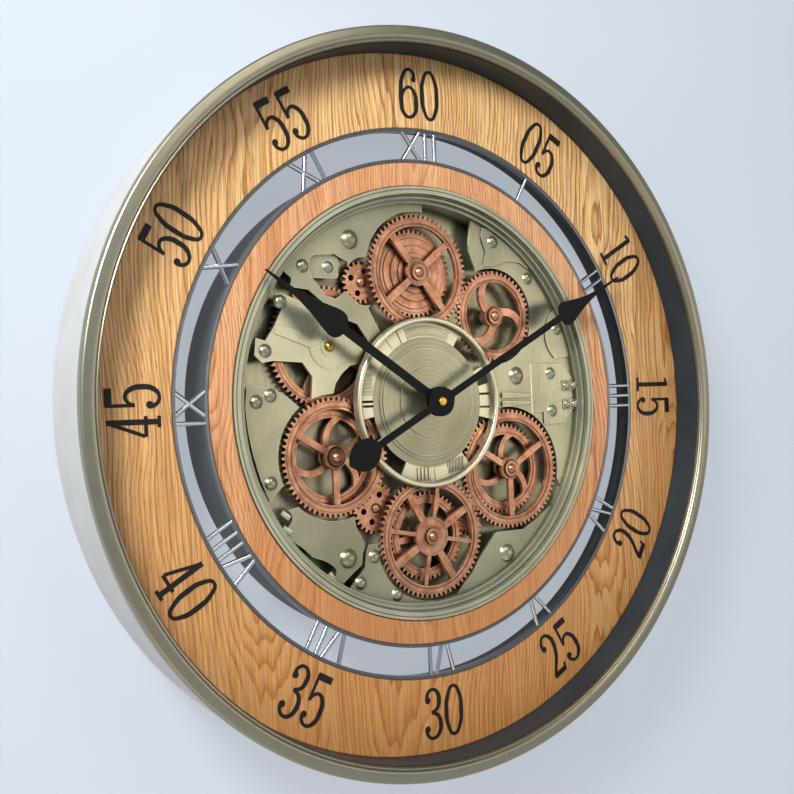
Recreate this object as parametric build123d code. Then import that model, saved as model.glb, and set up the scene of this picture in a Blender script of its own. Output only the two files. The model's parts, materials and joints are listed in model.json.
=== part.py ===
"""Round wall clock with an open gear movement, modelled piece by piece.

Everything is drawn in the face frame: x to the right, y up, z out of the wall.
The parts are turned upright on export, so that the dial faces -Y, the 12 points
to +Z and the origin lies on the spindle axis in the plane of the wall.
Bearings run clockwise from the 12, in degrees. Lengths are in millimetres, except
that the plan of the movement is drawn in modules, so that it follows the wheels.
"""
import os
from math import atan2, cos, degrees, hypot, pi, radians, sin

from build123d import *

# Tooth form and wheel train
MODULE = 1.5
ADDENDUM = 0.80            # tooth height above the pitch circle, in modules
DEDENDUM = 1.15            # tooth depth below the pitch circle, in modules
TIP_SHARE = 0.24           # share of a pitch that is solid at the tip
ROOT_SHARE = 0.60          # and at the root
BOTTOM_TEETH, BOTTOM_REAR_TEETH = 65, 47
RIGHT_TEETH, RIGHT_REAR_TEETH = 66, 50
LEFT_TEETH, LEFT_REAR_TEETH = 61, 52
TOP_TEETH, TOP_REAR_TEETH = 62, 47
UPPER_RIGHT_TEETH = 50
UPPER_LEFT_TEETH = 63
TOP_PINION_TEETH = 21
LOW_PINION_TEETH = 26
DRIVE_PINION_TEETH = 15
BOTTOM_CENTRE = 73.2       # bottom arbor from the spindle, in modules
BOTTOM_BEARING = 179.0
RIGHT_BEARING = 59.1       # each next arbor, seen from the one that it meshes with
DRIVE_BEARING = 80.0
LOW_PINION_BEARING = 298.7
LEFT_BEARING = 317.6
UPPER_LEFT_BEARING = 358.7
TOP_PINION_BEARING = 34.4
TOP_BEARING = 80.4
UPPER_RIGHT_BEARING = 114.6

# Wheels and arbors
WHEEL_THICKNESS = 3.5
RIM_WIDTH = 6.5            # wheel rim inside the tooth roots
RIDGE_WIDTH = 2.2
RIDGE_HEIGHT = 0.6
SPOKE_WIDTH = 5.0
NARROW_SPOKE_WIDTH = 3.2
BOTTOM_SPOKE_WIDTH = 6.0
TOP_SPOKE_WIDTH = 5.5
CRESCENT_SPOKE_WIDTH = 6.5
SPOKE_BEND_SHARE = 0.62    # radius of a curved spoke, as a share of its length
HUB_RADIUS = 9.5
TOP_HUB_RADIUS = 11.0
BOTTOM_HUB_RADIUS = 16.0
BOSS_RADIUS = 6.5
BOSS_HEIGHT = 2.0
ARBOR_RADIUS = 2.5
ARBOR_CAP_RADIUS = 4.2
ARBOR_CAP_HEIGHT = 3.0
COLLAR_RADIUS = 5.0
RUNNING_CLEARANCE = 0.05   # radial, shaft in its hole
END_PLAY = 0.4             # axial, collar to plate
PINION_HOLE_RADIUS = 2.6
BARREL_RADII = (29.0, 22.5, 16.0)

# Depth of the movement, from the wall forwards
MOVEMENT_LIFT = 7.0        # back of the clock movement from the wall
MOVEMENT_THICKNESS = 16.0
MOVEMENT_SIDE = 56.0
BASE_THICKNESS = 3.0
WHEEL_LIFT = 4.0           # rear wheels in front of the base plate
LEVEL_GAP = 4.5            # between the rear and the front wheels
PLATE_THICKNESS = 2.5
PLATE_OVERLAY = 1.2
SUB_DIAL_CLEARANCE = 2.0   # front wheels to the sub-dial
PLATE_ROOM = 2.56          # wheel tips to the plates round them

# Movement rim and dial rings, from the wheels outwards
WELL_CLEARANCE = 3.2
RIM_STEP_WIDTHS = (3.0, 3.5, 5.5)
RIM_STEP_HEIGHT = 4.0
RIM_PROUD = 1.4            # rim in front of the dial face
INNER_DIAL_WIDTH = 20.0
CHAPTER_RING_WIDTH = 2.2
CHAPTER_RING_DEPTH = 5.0
CHAPTER_GAP = 22.3         # see-through gap that the numerals bridge
OUTER_DIAL_WIDTH = 60.9
OUTER_PIECES = 12          # pieces of the outer rings, from numeral to numeral
PIECE_JOINT = 0.1          # joint between two pieces
DIAL_CLEARANCE = 0.1       # outer dial to the case
DIAL_THICKNESS = 6.0
DIAL_FACE = 50.6           # dial face from the wall
NUMERAL_STROKE = 2.4
NUMERAL_DEPTH = 3.0
STROKE_PITCH = 9.0         # between upright strokes
SLANT_SPREAD = 17.0        # top width of V, width of X
SLANT_FOOT = 5.0           # foot width of V

# Case
LINER_WALL = 1.5
LINER_HEIGHT = 24.4
BEZEL_LIP = 5.0            # bezel in front of the liner
BEZEL_DEPTH = 8.0
LIP_STEP = 0.8             # bezel's lip outside the liner's face
LIP_WIDTH, LIP_DROP = 4.2, 2.2
BEZEL_ROUND = 2.2          # rounding of the bezel's outer edge
BEZEL_FALL = 0.6           # bezel face, from its lip outwards
BEZEL_OVERHANG = 0.45      # bezel outside the band
BAND_GAP = 5.7             # liner to band, at the wall
BAND_FLARE = 4.6           # band wider in front than at the wall
BAND_WALL = 1.2
BACK_FLANGE = 7.0
WELL_WALL = 1.5            # wall behind the outer dial's inner edge
WELL_WALL_DEPTH = 9.0
REAR_PANEL = 2.0
DRUM_INSET = 2.0           # drum inside the inner dial's edge
DRUM_WALL = 1.2
COVER_LIFT = 3.0
COVER_THICKNESS = 1.5
HANGER_WIDTH, HANGER_HEIGHT, HANGER_THICKNESS = 80.0, 36.0, 2.0
KEYHOLE_RADIUS, KEYSLOT_RADIUS, KEYSLOT_LENGTH = 5.0, 2.4, 10.0
KEYHOLE_DROP = 22.0        # keyhole below the band

# Inside the drum
CELL_RADIUS, CELL_LENGTH = 7.1, 50.0
CELL_ROOM = 0.3
CELL_DROP = 17.0
MOTOR_SIZE = (34.0, 26.0, 15.0)
MOTOR_SHAFT = 6.0          # length of the drive shaft inside the motor
HOLDER_WALL = 1.6
HOLDER_AT = (0.0, -46.0)   # motor cell holder, from the spindle, in modules
KNOB_WINDOW = 9.0          # radius of the window round the setting knob
KNOB_RADIUS, KNOB_LENGTH = 7.0, 5.0
MOVEMENT_CORNER, MOTOR_CORNER, HOLDER_CORNER = 4.0, 3.0, 2.0

# Sub-dial, hands and spindle
SUB_RADIUS = 69.4
SUB_RIM_WIDTH = 4.2
SUB_RIM_HEIGHT = 7.5
SUB_THICKNESS = 2.0
SUB_WINDOW_DEPTH = 12.5
SUB_STEP_RADII = (46.5, 44.0, 28.0)
SUB_STEP_HEIGHT = 0.9
SUB_WINDOWS = ((31.5, 63.0), (68.0, 77.0), (104.0, 143.0), (206.0, 234.0), (239.0, 259.0))
SLOT_LENGTH, SLOT_WIDTH, SLOT_SPREAD = 11.0, 2.0, 11.0
SLEEVE_RADIUS = 9.0
BUSH_RADIUS = 4.4
NUT_RADIUS = 6.0
NUT_HEIGHT = 2.6
BUSH_PROUD = 1.0           # movement's neck in front of its nut
MINUTE_SHAFT_RADIUS = 1.6
PIPE_WALL = 0.9
HOUR_LIFT = 9.0            # hour hand in front of the sub-dial rim
HAND_GAP = 2.4
HAND_THICKNESS = 1.5
HAND_HUB_RADIUS = 12.0
CAP_RADIUS, CAP_HEIGHT = 3.8, 2.2
HOUR_LENGTH, HOUR_BAR, HOUR_SPADE_AT = 181.0, 7.0, 116.0
MINUTE_LENGTH, MINUTE_BAR, MINUTE_SPADE_AT = 222.0, 5.6, 161.0
SPADE_WIDTH, SPADE_ROOT, SPADE_POINT = 22.0, 14.0, 34.0
NEEDLE_WIDTH, TIP_WIDTH = 3.2, 1.4
TAIL_AT, TAIL_WIDTH, TAIL_LENGTH = 84.0, 25.0, 30.0
HOUR_BEARING, MINUTE_BEARING = 304.0, 61.9

# Plates of the movement, in modules
UPPER_LEFT_PLATE = ((-81.5, 68), (-95.5, 82), (-54.5, 118.5), (3.5, 118.5), (3.5, 52.5), (-31, 53.5),
                    (-33.5, 51), (-26, 37.5), (-33, 32), (-40.5, 42.5), (-51, 46), (-69, 60),
                    (-79.5, 61), (-78.5, 65.5))
PLATE_WINDOW = ((-68.5, 72.4), (-67.4, 76), (-65, 78), (-53, 79), (-45, 75), (-46, 60), (-53, 55.5),
                (-58.8, 57), (-64, 63.3), (-66.4, 66))
LUG = ((-69.3, 66.3), (-69.3, 81), (-52, 81), (-49, 74.2), (-50.2, 70.6), (-49.8, 68.4), (-51, 66.3))
LUG_POST = (-56.2, 72.1)
LUG_THICKNESS = 2.0
LEFT_BRIDGE = ((-89.5, 40.5), (-84.5, 50), (-89, 54), (-88, 57), (-84, 57.5), (-74, 54), (-54.5, 43),
               (-41, 35), (-37.5, 28), (-40.5, 21.5), (-46, 20.5), (-51, 16.5), (-55, 11.5), (-57.5, 4),
               (-69.5, 4), (-68.5, 15), (-74, 22.5), (-90.5, 23.5), (-97, 22.5), (-101, 26.5),
               (-100, 35), (-94.5, 33.5))
LEFT_PLATE = ((-106, 10), (-101.5, 11), (-96, 10), (-86, 7), (-75.5, -1.5), (-75.5, -38.5), (-88, -40),
              (-95.5, -47), (-100, -36), (-103.5, -24), (-106, -12), (-107, 0))
LOWER_LEFT_PLATE = ((-85.5, -52.2), (-80, -51), (-69, -47.5), (-48.5, -47.5), (-46, -64), (-41, -73.5),
                    (-42.5, -78), (-43.5, -84), (-51, -89.4), (-55.1, -92.5), (-60.8, -89.2))
LOWER_LEFT_WAVE = ((-60.8, -89.2), (-58.8, -85.5), (-62.1, -81.8), (-66.6, -79.3), (-72, -77.2),
                   (-77.3, -72.4), (-87, -63), (-83.5, -58), (-85.5, -52.2))
FOOT_PLATE = ((-39, -74), (-33, -74), (-31, -77), (-24.5, -77.5), (1.5, -107), (1.5, -123.5),
              (-61, -123.5), (-50.5, -95), (-41.5, -85.5), (-40.5, -78))
LOWER_RIGHT_PLATE = ((41, -80), (46, -75), (66, -75), (95.5, -58), (123.5, -70.5), (74, -120),
                     (18, -120), (18, -106))
RIGHT_PLATE = ((38.5, 74), (34.5, 84), (38.5, 117), (90.5, 107), (123.5, 41), (123.5, -41),
               (97, -56.5), (82, -24.5), (51, -5), (47.5, 21.5), (34.5, 61))
WAVE_PLATE = ((43.5, 98), (51, 97), (66, 90), (77.5, 79), (76, 75.5), (70, 79), (61, 79.5), (51, 76.5),
              (43.5, 76), (46, 84), (43, 92))
STEP_PLATE = ((82, 20), (99, 20), (106.5, 12), (106.5, -7), (99, -15), (84, -15), (84, -8), (82, -8))
STEP_SLOPE = 9.5           # width of the slope up to the step plate
RIGHT_PAD = ((96.2, 53), (87.6, 40), (94, 23.5), (120, 26), (120, 53))
BRIDGE_ARM = ((-89.6, 37.4), (-88.4, 41.5), (-66.5, 36.8), (-60, 31), (-67.5, 29.4))
ARM_HEIGHT = 0.9
LARGE_POSTS = ((-43.5, 87), (65, 13.5), (-51.5, -80), (53, -87.5))
LEFT_POSTS = ((-101, 3), (-93, 6), (-94.5, -38))
FOOT_POSTS = ((-35.5, -80.5), (-44.5, -93.5), (-22.3, -102.2))
RIGHT_POSTS = ((96.2, 40.7), (76, 70))
BRIDGE_POSTS = ((-95, 28.5), (-85.5, 53.5))
UPPER_LEFT_POST = (-72, 72)
STEP_POSTS = ((90, 14.5), (90.5, -7.5))
WAVE_POST = (51, 90)
RIGHT_RIBS = (((53.5, 4), (75.2, 2.6), (75.2, 1.6), (53.5, 1)),
              ((53.5, -1), (75.2, -1.6), (75.2, -2.6), (53.5, -4)))
RIB_HEIGHT = 1.6
LARGE_HEAD, POST_HEAD, HEAD_RISE = 7.8, 5.4, 0.55
POST_RADIUS, SHANK_RADIUS = 3.6, 2.2
BEARING_RINGS = (17.0, 7.5)

# Depths from the wall that follow
base_back = MOVEMENT_LIFT + MOVEMENT_THICKNESS
base_front = base_back + BASE_THICKNESS
rear_level = base_front + WHEEL_LIFT
front_level = rear_level + WHEEL_THICKNESS + LEVEL_GAP
wheel_front = front_level + WHEEL_THICKNESS
plate_front = front_level + PLATE_THICKNESS
sub_back = wheel_front + RIDGE_HEIGHT + SUB_DIAL_CLEARANCE
sub_face = sub_back + SUB_THICKNESS
sub_centre = sub_face + SUB_STEP_HEIGHT * len(SUB_STEP_RADII)
sub_front = sub_back + SUB_RIM_HEIGHT
dial_back = DIAL_FACE - DIAL_THICKNESS
hour_back = max(sub_front, DIAL_FACE + RIM_PROUD) + HOUR_LIFT
minute_back = hour_back + HAND_THICKNESS + HAND_GAP
liner_front = DIAL_FACE + LINER_HEIGHT
case_front = liner_front + BEZEL_LIP
bezel_back = case_front - BEZEL_DEPTH
pipe_radius = MINUTE_SHAFT_RADIUS + RUNNING_CLEARANCE + PIPE_WALL


def bearing(distance, angle):
    """Point at a distance and a clockwise bearing from the 12."""
    return distance * sin(radians(angle)), distance * cos(radians(angle))


def mesh(teeth_a, teeth_b):
    """Centre distance of two meshing wheels."""
    return MODULE * (teeth_a + teeth_b) / 2


def step_from(centre, distance, angle):
    x, y = bearing(distance, angle)
    return centre[0] + x, centre[1] + y


# Arbors, each placed from the one that it meshes with
bottom = bearing(BOTTOM_CENTRE * MODULE, BOTTOM_BEARING)
right = step_from(bottom, mesh(BOTTOM_TEETH, RIGHT_TEETH), RIGHT_BEARING)
drive = step_from(bottom, mesh(BOTTOM_REAR_TEETH, DRIVE_PINION_TEETH), DRIVE_BEARING)
low_pinion = step_from(bottom, mesh(BOTTOM_REAR_TEETH, LOW_PINION_TEETH), LOW_PINION_BEARING)
left = step_from(low_pinion, mesh(LOW_PINION_TEETH, LEFT_REAR_TEETH), LEFT_BEARING)
upper_left = step_from(left, mesh(LEFT_REAR_TEETH, UPPER_LEFT_TEETH), UPPER_LEFT_BEARING)
top_pinion = step_from(upper_left, mesh(UPPER_LEFT_TEETH, TOP_PINION_TEETH), TOP_PINION_BEARING)
top = step_from(top_pinion, mesh(TOP_PINION_TEETH, TOP_REAR_TEETH), TOP_BEARING)
upper_right = step_from(top, mesh(TOP_TEETH, UPPER_RIGHT_TEETH), UPPER_RIGHT_BEARING)
ARBORS = (bottom, right, low_pinion, left, upper_left, top_pinion, top, upper_right)


def tip_radius(teeth):
    return MODULE * (teeth / 2 + ADDENDUM)


def root_radius(teeth):
    return MODULE * (teeth / 2 - DEDENDUM)


def meshed(teeth_a, bearing_a, teeth_b, to_b):
    """Bearing of a tooth of wheel b whose gaps take the teeth of wheel a; b lies at bearing to_b."""
    pitches = (to_b - bearing_a) * teeth_a / 360
    return to_b + 180 - (0.5 - pitches) * 360 / teeth_b


# Bearing of one tooth of every wheel
right_tooth = meshed(BOTTOM_TEETH, 0, RIGHT_TEETH, RIGHT_BEARING)
drive_tooth = meshed(BOTTOM_REAR_TEETH, 0, DRIVE_PINION_TEETH, DRIVE_BEARING)
low_tooth = meshed(BOTTOM_REAR_TEETH, 0, LOW_PINION_TEETH, LOW_PINION_BEARING)
left_tooth = meshed(LOW_PINION_TEETH, low_tooth, LEFT_REAR_TEETH, LEFT_BEARING)
upper_left_tooth = meshed(LEFT_REAR_TEETH, left_tooth, UPPER_LEFT_TEETH, UPPER_LEFT_BEARING)
top_pinion_tooth = meshed(UPPER_LEFT_TEETH, upper_left_tooth, TOP_PINION_TEETH, TOP_PINION_BEARING)
top_rear_tooth = meshed(TOP_PINION_TEETH, top_pinion_tooth, TOP_REAR_TEETH, TOP_BEARING)
upper_right_tooth = meshed(TOP_TEETH, 0, UPPER_RIGHT_TEETH, UPPER_RIGHT_BEARING)

# Radii of the rings, from the wheels outwards
reach = max(hypot(*centre) + tip_radius(teeth) for centre, teeth in (
    (bottom, BOTTOM_TEETH), (right, RIGHT_TEETH), (left, LEFT_TEETH), (top, TOP_TEETH),
    (upper_right, UPPER_RIGHT_TEETH), (upper_left, UPPER_LEFT_TEETH)))
well_radius = reach + WELL_CLEARANCE
rim_radius = well_radius + sum(RIM_STEP_WIDTHS)
inner_dial_radius = rim_radius + INNER_DIAL_WIDTH
gap_inner = inner_dial_radius + CHAPTER_RING_WIDTH
gap_outer = gap_inner + CHAPTER_GAP
outer_dial_inner = gap_outer + CHAPTER_RING_WIDTH
liner_inner = outer_dial_inner + OUTER_DIAL_WIDTH
band_inner = liner_inner + LINER_WALL + BAND_GAP
band_outer = band_inner + BAND_WALL
bezel_outer = band_outer + BAND_FLARE + BEZEL_OVERHANG
drum_outer = inner_dial_radius - DRUM_INSET
drum_inner = drum_outer - DRUM_WALL


def disc(radius, back, front, hole=0.0):
    """Plain round plate or ring between two depths."""
    face = Circle(radius) - Circle(hole) if hole else Circle(radius)
    return Pos(0, 0, back) * extrude(face, front - back)


def turned(points):
    """Solid turned about the spindle axis from (radius, depth) points."""
    return revolve(make_face(Plane.XZ * Polyline(*points, close=True)), Axis.Z)


def in_modules(points):
    return [(x * MODULE, y * MODULE) for x, y in points]


def toothed(teeth, tooth_bearing):
    """Face of a wheel with straight-flanked teeth."""
    pitch = 2 * pi / teeth
    corners = []
    for k in range(teeth):
        middle = radians(90 - tooth_bearing) + k * pitch
        for radius, offset in ((root_radius(teeth), -ROOT_SHARE), (tip_radius(teeth), -TIP_SHARE),
                               (tip_radius(teeth), TIP_SHARE), (root_radius(teeth), ROOT_SHARE)):
            angle = middle + offset * pitch / 2
            corners.append((radius * cos(angle), radius * sin(angle)))
    return make_face(Polyline(*corners, close=True))


def straight_spokes(bearings, length, width):
    spoke = Pos(0, length / 2) * Rectangle(width, length)
    return [Rot(Z=-b) * spoke for b in bearings]


def curved_spokes(bearings, length, width):
    """Spokes that each follow an arc from the hub to the rim."""
    bend = SPOKE_BEND_SHARE * length
    arc = Pos(bend, 0) * (Circle(bend + width / 2) - Circle(bend - width / 2))
    arc &= Pos(0, length / 2) * Rectangle(3 * length, length)
    arc &= Circle(length)
    return [Rot(Z=-b) * arc for b in bearings]


def wheel(teeth, tooth_bearing, level, spokes, hub, back_boss=0.0, boss=True):
    """Spoked wheel with a ridge round the rim and a boss on the hub, bored for its arbor."""
    rim_inner = root_radius(teeth) - RIM_WIDTH
    face = toothed(teeth, tooth_bearing) - Circle(rim_inner)
    for kind, bearings, width in spokes:
        for spoke in kind(bearings, rim_inner + RIM_WIDTH / 3, width):
            face += spoke
    face += Circle(hub)
    body = extrude(face, WHEEL_THICKNESS)
    outer = root_radius(teeth) - RIM_WIDTH / 4
    body += disc(outer, WHEEL_THICKNESS, WHEEL_THICKNESS + RIDGE_HEIGHT, outer - RIDGE_WIDTH)
    if boss:
        body += disc(BOSS_RADIUS, WHEEL_THICKNESS, WHEEL_THICKNESS + BOSS_HEIGHT)
    if back_boss:
        body += disc(BOSS_RADIUS, -back_boss, 0)
    return Pos(0, 0, level) * (body - disc(ARBOR_RADIUS, -back_boss - 1, WHEEL_THICKNESS + BOSS_HEIGHT + 1))


def every(count, first):
    return [first + 360 / count * k for k in range(count)]


def arbor(front):
    """Turned arbor: tail in the base plate, collar in front of it and a domed cap."""
    collar_back = base_front + END_PLAY
    tail = disc(ARBOR_RADIUS, base_back - BASE_THICKNESS / 2, front)
    collar = disc(COLLAR_RADIUS, collar_back, rear_level)
    dome_radius = (ARBOR_CAP_RADIUS**2 + ARBOR_CAP_HEIGHT**2) / (2 * ARBOR_CAP_HEIGHT)
    dome = Pos(0, 0, front + ARBOR_CAP_HEIGHT - dome_radius) * Sphere(dome_radius)
    cap = dome & disc(ARBOR_CAP_RADIUS, front, front + ARBOR_CAP_HEIGHT)
    return tail + collar + cap


def pinion(teeth, tooth_bearing, holes):
    """Pinion in one piece with its arbor, lightened by round holes."""
    ring = (root_radius(teeth) + COLLAR_RADIUS) / 2
    face = toothed(teeth, tooth_bearing)
    for b in every(holes, 20):
        face -= Pos(*bearing(ring, b)) * Circle(PINION_HOLE_RADIUS)
    body = Pos(0, 0, rear_level) * extrude(face, WHEEL_THICKNESS)
    return body + arbor(rear_level + WHEEL_THICKNESS)


def train():
    """Wheels, pinions and arbors, each at its own arbor."""
    front = wheel_front + BOSS_HEIGHT
    at = {}
    at["bottom_wheel"] = bottom, wheel(
        BOTTOM_TEETH, 0, front_level,
        ((straight_spokes, every(4, 60), BOTTOM_SPOKE_WIDTH),
         (straight_spokes, every(4, 11), NARROW_SPOKE_WIDTH)), BOTTOM_HUB_RADIUS, LEVEL_GAP)
    at["bottom_rear_wheel"] = bottom, wheel(
        BOTTOM_REAR_TEETH, 0, rear_level, ((straight_spokes, every(3, 25), SPOKE_WIDTH),),
        HUB_RADIUS, boss=False)
    at["right_wheel"] = right, wheel(
        RIGHT_TEETH, right_tooth, front_level, ((straight_spokes, every(3, 60), SPOKE_WIDTH),),
        HUB_RADIUS, LEVEL_GAP)
    at["right_rear_wheel"] = right, wheel(
        RIGHT_REAR_TEETH, 0, rear_level, ((curved_spokes, every(3, 84), SPOKE_WIDTH),),
        HUB_RADIUS, boss=False)
    at["left_wheel"] = left, wheel(
        LEFT_TEETH, 0, front_level, ((straight_spokes, every(3, 60), SPOKE_WIDTH),), HUB_RADIUS, LEVEL_GAP)
    at["left_rear_wheel"] = left, wheel(
        LEFT_REAR_TEETH, left_tooth, rear_level, ((curved_spokes, every(3, 84), SPOKE_WIDTH),),
        HUB_RADIUS, boss=False)
    at["upper_left_wheel"] = upper_left, wheel(
        UPPER_LEFT_TEETH, upper_left_tooth, rear_level, ((straight_spokes, every(4, 27), SPOKE_WIDTH),),
        HUB_RADIUS, boss=False)
    at["top_wheel"] = top, wheel(
        TOP_TEETH, 0, front_level, ((straight_spokes, every(4, 51), TOP_SPOKE_WIDTH),),
        TOP_HUB_RADIUS)
    at["top_rear_wheel"] = top, wheel(
        TOP_REAR_TEETH, top_rear_tooth, rear_level, ((straight_spokes, every(4, 20), SPOKE_WIDTH),),
        HUB_RADIUS, boss=False)
    at["upper_right_wheel"] = upper_right, wheel(
        UPPER_RIGHT_TEETH, upper_right_tooth, front_level,
        ((curved_spokes, every(3, 53), CRESCENT_SPOKE_WIDTH),),
        HUB_RADIUS, front_level - rear_level)
    at["top_pinion"] = top_pinion, pinion(TOP_PINION_TEETH, top_pinion_tooth, 4)
    at["low_pinion"] = low_pinion, pinion(LOW_PINION_TEETH, low_tooth, 6)
    barrel_back = rear_level + WHEEL_THICKNESS
    barrel = disc(HUB_RADIUS, barrel_back, front_level)
    for k, radius in enumerate(BARREL_RADII, 1):
        barrel += disc(radius, barrel_back, barrel_back + LEVEL_GAP * k / (len(BARREL_RADII) + 1))
    at["top_barrel"] = top, barrel - disc(ARBOR_RADIUS, rear_level, front_level + 1)
    for name, centre in (("bottom", bottom), ("right", right), ("left", left), ("top", top),
                         ("upper_right", upper_right)):
        at[name + "_arbor"] = centre, arbor(front)
    at["upper_left_arbor"] = upper_left, arbor(plate_front + BOSS_HEIGHT)
    shaft = disc(ARBOR_RADIUS, base_back - MOTOR_SHAFT, rear_level)
    pin_face = toothed(DRIVE_PINION_TEETH, drive_tooth)
    at["drive_pinion"] = drive, shaft + Pos(0, 0, rear_level) * extrude(pin_face, WHEEL_THICKNESS)
    return {name: Pos(*centre) * shape for name, (centre, shape) in at.items()}


def post(head_radius, seat, shoulder=front_level):
    """Riveted post between the base plate and a plate, with a domed head on the seat."""
    rise = head_radius * HEAD_RISE
    dome_radius = (head_radius**2 + rise**2) / (2 * rise)
    dome = Pos(0, 0, seat + rise - dome_radius) * Sphere(dome_radius)
    head = dome & disc(head_radius, seat, seat + rise)
    return disc(POST_RADIUS, base_front, shoulder) + disc(SHANK_RADIUS, shoulder, seat) + head


def wells():
    """Holes in the plates that leave room for the front wheels and for the pinions."""
    cut = []
    for centre, teeth in ((bottom, BOTTOM_TEETH), (right, RIGHT_TEETH), (left, LEFT_TEETH), (top, TOP_TEETH),
                          (upper_right, UPPER_RIGHT_TEETH), (low_pinion, LOW_PINION_TEETH),
                          (top_pinion, TOP_PINION_TEETH)):
        cut.append(Pos(*centre) * Circle(tip_radius(teeth) + PLATE_ROOM))
    return cut


def outline(points, wave=()):
    """Face of a plate through points in modules, closed by a smooth wave where one is given."""
    if not wave:
        return make_face(Polyline(*in_modules(points), close=True))
    return make_face(Curve() + [Polyline(*in_modules(points)), Spline(*in_modules(wave))])


def plate(points, posts=(), windows=(), level=front_level, thickness=PLATE_THICKNESS, wave=()):
    """Flat plate cut back from the wheels and the rim, with a hole for each post's shank."""
    face = outline(points, wave) & Circle(well_radius)
    for well in wells():
        face -= well
    for window in windows:
        face -= outline(window)
    for x, y in in_modules(posts):
        face -= Pos(x, y) * Circle(SHANK_RADIUS)
    return Pos(0, 0, level) * extrude(face, thickness)


def plates():
    made = {}
    lug = plate(LUG, (LUG_POST,), (), front_level - LUG_THICKNESS, LUG_THICKNESS)
    made["upper_left_plate"] = lug + plate(
        UPPER_LEFT_PLATE, (LARGE_POSTS[0], UPPER_LEFT_POST), (PLATE_WINDOW,))
    bridge = plate(LEFT_BRIDGE, BRIDGE_POSTS)
    for k, radius in enumerate(BEARING_RINGS, 1):
        bridge += Pos(*upper_left) * disc(radius, plate_front, plate_front + BOSS_HEIGHT * k / 3)
    bridge += Pos(0, 0, plate_front) * extrude(outline(BRIDGE_ARM), ARM_HEIGHT)
    made["left_bridge"] = bridge - Pos(*upper_left) * disc(
        ARBOR_RADIUS + RUNNING_CLEARANCE, front_level - 1, plate_front + BOSS_HEIGHT)
    made["left_plate"] = plate(LEFT_PLATE, LEFT_POSTS)
    made["lower_left_plate"] = plate(LOWER_LEFT_PLATE, LARGE_POSTS[2:3], wave=LOWER_LEFT_WAVE)
    made["foot_plate"] = plate(FOOT_PLATE, FOOT_POSTS)
    made["lower_right_plate"] = plate(LOWER_RIGHT_PLATE, LARGE_POSTS[3:])
    right_plate = plate(RIGHT_PLATE, LARGE_POSTS[1:2] + RIGHT_POSTS + STEP_POSTS + (WAVE_POST,))
    for rib in RIGHT_RIBS:
        right_plate += Pos(0, 0, plate_front) * extrude(outline(rib), RIB_HEIGHT)
    high, bend, low, *far = in_modules(RIGHT_PAD)
    pad = make_face(Curve() + [ThreePointArc(high, bend, low), Polyline(low, *far, high)])
    pad &= Circle(well_radius)
    for x, y in in_modules(RIGHT_POSTS[:1]):
        pad -= Pos(x, y) * Circle(SHANK_RADIUS)
    made["right_plate"] = right_plate + Pos(0, 0, plate_front) * extrude(pad, PLATE_OVERLAY, dir=(0, 0, 1))
    made["wave_plate"] = plate(WAVE_PLATE, (WAVE_POST,), (), plate_front, PLATE_OVERLAY)
    (left_edge, high), (_, low) = in_modules((STEP_PLATE[0], STEP_PLATE[-1]))
    slope = make_face(Plane.XZ * Polyline((left_edge - STEP_SLOPE, plate_front), (left_edge, plate_front),
                                          (left_edge, plate_front + PLATE_OVERLAY), close=True))
    slope = Pos(0, (high + low) / 2, 0) * extrude(slope, (high - low) / 2, both=True)
    made["step_plate"] = plate(STEP_PLATE, STEP_POSTS, (), plate_front, PLATE_OVERLAY) + slope
    return made


def numeral_strokes(text):
    """Straight strokes of a Roman numeral: offsets along the rim at the foot and at the top."""
    widths = {"I": STROKE_PITCH, "V": SLANT_SPREAD + NUMERAL_STROKE, "X": SLANT_SPREAD + NUMERAL_STROKE}
    at = -sum(widths[letter] for letter in text) / 2
    strokes = []
    for letter in text:
        middle = at + widths[letter] / 2
        foot, head = SLANT_FOOT / 2, SLANT_SPREAD / 2
        if letter == "I":
            strokes.append([(middle, middle)])
        elif letter == "V":
            strokes.append([(middle - foot, middle - head)])
            strokes.append([(middle + foot, middle + head)])
        else:
            strokes.append([(middle - head, middle + head), (middle + head, middle - head)])
        at += widths[letter]
    return strokes


def numerals():
    """Bars that bridge the see-through gap, cut to the curve of the rings that they join."""
    ring = Circle(gap_outer) - Circle(gap_inner)
    middle = (gap_inner + gap_outer) / 2
    bars = []
    for hour, text in enumerate(("XII", "I", "II", "III", "IV", "V", "VI", "VII", "VIII", "IX", "X", "XI")):
        for group in numeral_strokes(text):
            face = Sketch()
            for foot, head in group:
                lean = degrees(atan2(foot - head, CHAPTER_GAP))
                bar = Rot(Z=lean) * Rectangle(NUMERAL_STROKE, 2 * CHAPTER_GAP)
                face += Pos((foot + head) / 2, middle) * bar
            face = (Rot(Z=-30 * hour) * face) & ring
            bars.append(Pos(0, 0, DIAL_FACE - NUMERAL_DEPTH) * extrude(face, NUMERAL_DEPTH))
    return Compound([solid for bar in bars for solid in bar.solids()])


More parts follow.
